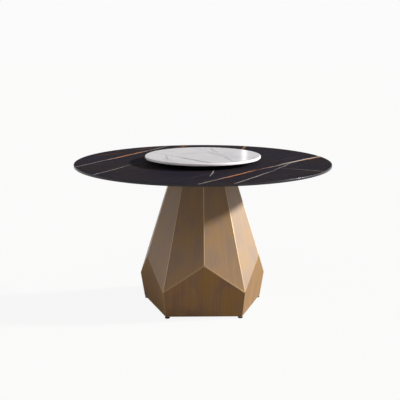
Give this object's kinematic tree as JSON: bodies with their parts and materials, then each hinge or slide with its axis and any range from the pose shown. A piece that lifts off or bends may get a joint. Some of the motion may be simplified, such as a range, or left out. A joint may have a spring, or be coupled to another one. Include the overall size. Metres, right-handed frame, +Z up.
{
  "type": "round dining table with turntable",
  "caption": "Round stone dining table on a faceted sheet-metal pedestal, with a stone turntable on a ball bearing in the middle of the top.",
  "frame": {"origin": "on the floor under the table's axis", "axes": "+Z up, along the axis that the turntable turns about; one flat of the pedestal faces -Y and one of its corners faces +Y"},
  "size_m": [1.3098, 1.31, 0.7855],
  "materials": {
    "black_stone": "polished black stone with white and orange veins",
    "grey_stone": "polished pale grey stone with darker veins",
    "black_board": "black-faced fibreboard",
    "brass": "turned",
    "black_steel": "black powder coat",
    "zinc_steel": "zinc-plated steel",
    "bronze_sheet": "stainless sheet, brushed and coloured bronze",
    "black_nylon": "moulded",
    "white_nylon": "moulded",
    "silicone": "frosted",
    "aluminium": "anodised, turned",
    "ball_steel": "polished steel"
  },
  "bodies": {
    "table": {"stone_top": "black_stone", "backing_board": "black_board", "board_inserts": "brass", "top_flange": "black_steel", "flange_bolts": "zinc_steel", "flange_washers": "zinc_steel", "column": "black_steel", "floor_plate": "black_steel", "weld_nuts": "zinc_steel", "rib_1": "black_steel", "rib_2": "black_steel", "rib_3": "black_steel", "rib_4": "black_steel", "rib_5": "black_steel", "lower_panel_1": "bronze_sheet", "lower_panel_2": "bronze_sheet", "lower_panel_3": "bronze_sheet", "lower_panel_4": "bronze_sheet", "lower_panel_5": "bronze_sheet", "upper_panel_1": "bronze_sheet", "upper_panel_2": "bronze_sheet", "upper_panel_3": "bronze_sheet", "upper_panel_4": "bronze_sheet", "upper_panel_5": "bronze_sheet", "lower_grips": "silicone", "bearing_fixed_ring": "aluminium"},
    "turntable": {"bearing_turning_ring": "aluminium", "upper_grips": "silicone", "turntable_stone": "grey_stone"},
    "ball_cage": {"bearing_cage": "white_nylon", "bearing_balls": "ball_steel"},
    "foot_1": {"foot_pad_1": "black_nylon"},
    "foot_screw_1": {"foot_stud_1": "zinc_steel"},
    "foot_2": {"foot_pad_2": "black_nylon"},
    "foot_screw_2": {"foot_stud_2": "zinc_steel"},
    "foot_3": {"foot_pad_3": "black_nylon"},
    "foot_screw_3": {"foot_stud_3": "zinc_steel"},
    "foot_4": {"foot_pad_4": "black_nylon"},
    "foot_screw_4": {"foot_stud_4": "zinc_steel"},
    "foot_5": {"foot_pad_5": "black_nylon"},
    "foot_screw_5": {"foot_stud_5": "zinc_steel"}
  },
  "joints": [
    {"name": "turntable_turn", "type": "hinge", "parent": "table", "child": "turntable", "pos_m": [0, 0, 0.76], "axis": [0, 0, 1], "continuous": true},
    {"name": "cage_turn", "type": "hinge", "parent": "table", "child": "ball_cage", "pos_m": [0, 0, 0.76], "axis": [0, 0, 1], "continuous": true},
    {"name": "foot_slide_1", "type": "slide", "parent": "table", "child": "foot_1", "axis": [0, 0, -1], "range_m": [0, 0.015]},
    {"name": "foot_turn_1", "type": "hinge", "parent": "foot_1", "child": "foot_screw_1", "pos_m": [0, 0.31004, 0], "axis": [0, 0, -1], "range_deg": [0, 4320.1]},
    {"name": "foot_slide_2", "type": "slide", "parent": "table", "child": "foot_2", "axis": [0, 0, -1], "range_m": [0, 0.015]},
    {"name": "foot_turn_2", "type": "hinge", "parent": "foot_2", "child": "foot_screw_2", "pos_m": [-0.29487, 0.09581, 0], "axis": [0, 0, -1], "range_deg": [0, 4320.1]},
    {"name": "foot_slide_3", "type": "slide", "parent": "table", "child": "foot_3", "axis": [0, 0, -1], "range_m": [0, 0.015]},
    {"name": "foot_turn_3", "type": "hinge", "parent": "foot_3", "child": "foot_screw_3", "pos_m": [-0.18224, -0.25083, 0], "axis": [0, 0, -1], "range_deg": [0, 4320.1]},
    {"name": "foot_slide_4", "type": "slide", "parent": "table", "child": "foot_4", "axis": [0, 0, -1], "range_m": [0, 0.015]},
    {"name": "foot_turn_4", "type": "hinge", "parent": "foot_4", "child": "foot_screw_4", "pos_m": [0.18224, -0.25083, 0], "axis": [0, 0, -1], "range_deg": [0, 4320.1]},
    {"name": "foot_slide_5", "type": "slide", "parent": "table", "child": "foot_5", "axis": [0, 0, -1], "range_m": [0, 0.015]},
    {"name": "foot_turn_5", "type": "hinge", "parent": "foot_5", "child": "foot_screw_5", "pos_m": [0.29487, 0.09581, 0], "axis": [0, 0, -1], "range_deg": [0, 4320.1]}
  ],
  "couplings": [
    {"joint": "cage_turn", "follows": "turntable_turn", "ratio": 0.5},
    {"joint": "foot_turn_1", "follows": "foot_slide_1", "rad_per_m": 5026.5},
    {"joint": "foot_turn_2", "follows": "foot_slide_2", "rad_per_m": 5026.5},
    {"joint": "foot_turn_3", "follows": "foot_slide_3", "rad_per_m": 5026.5},
    {"joint": "foot_turn_4", "follows": "foot_slide_4", "rad_per_m": 5026.5},
    {"joint": "foot_turn_5", "follows": "foot_slide_5", "rad_per_m": 5026.5}
  ]
}
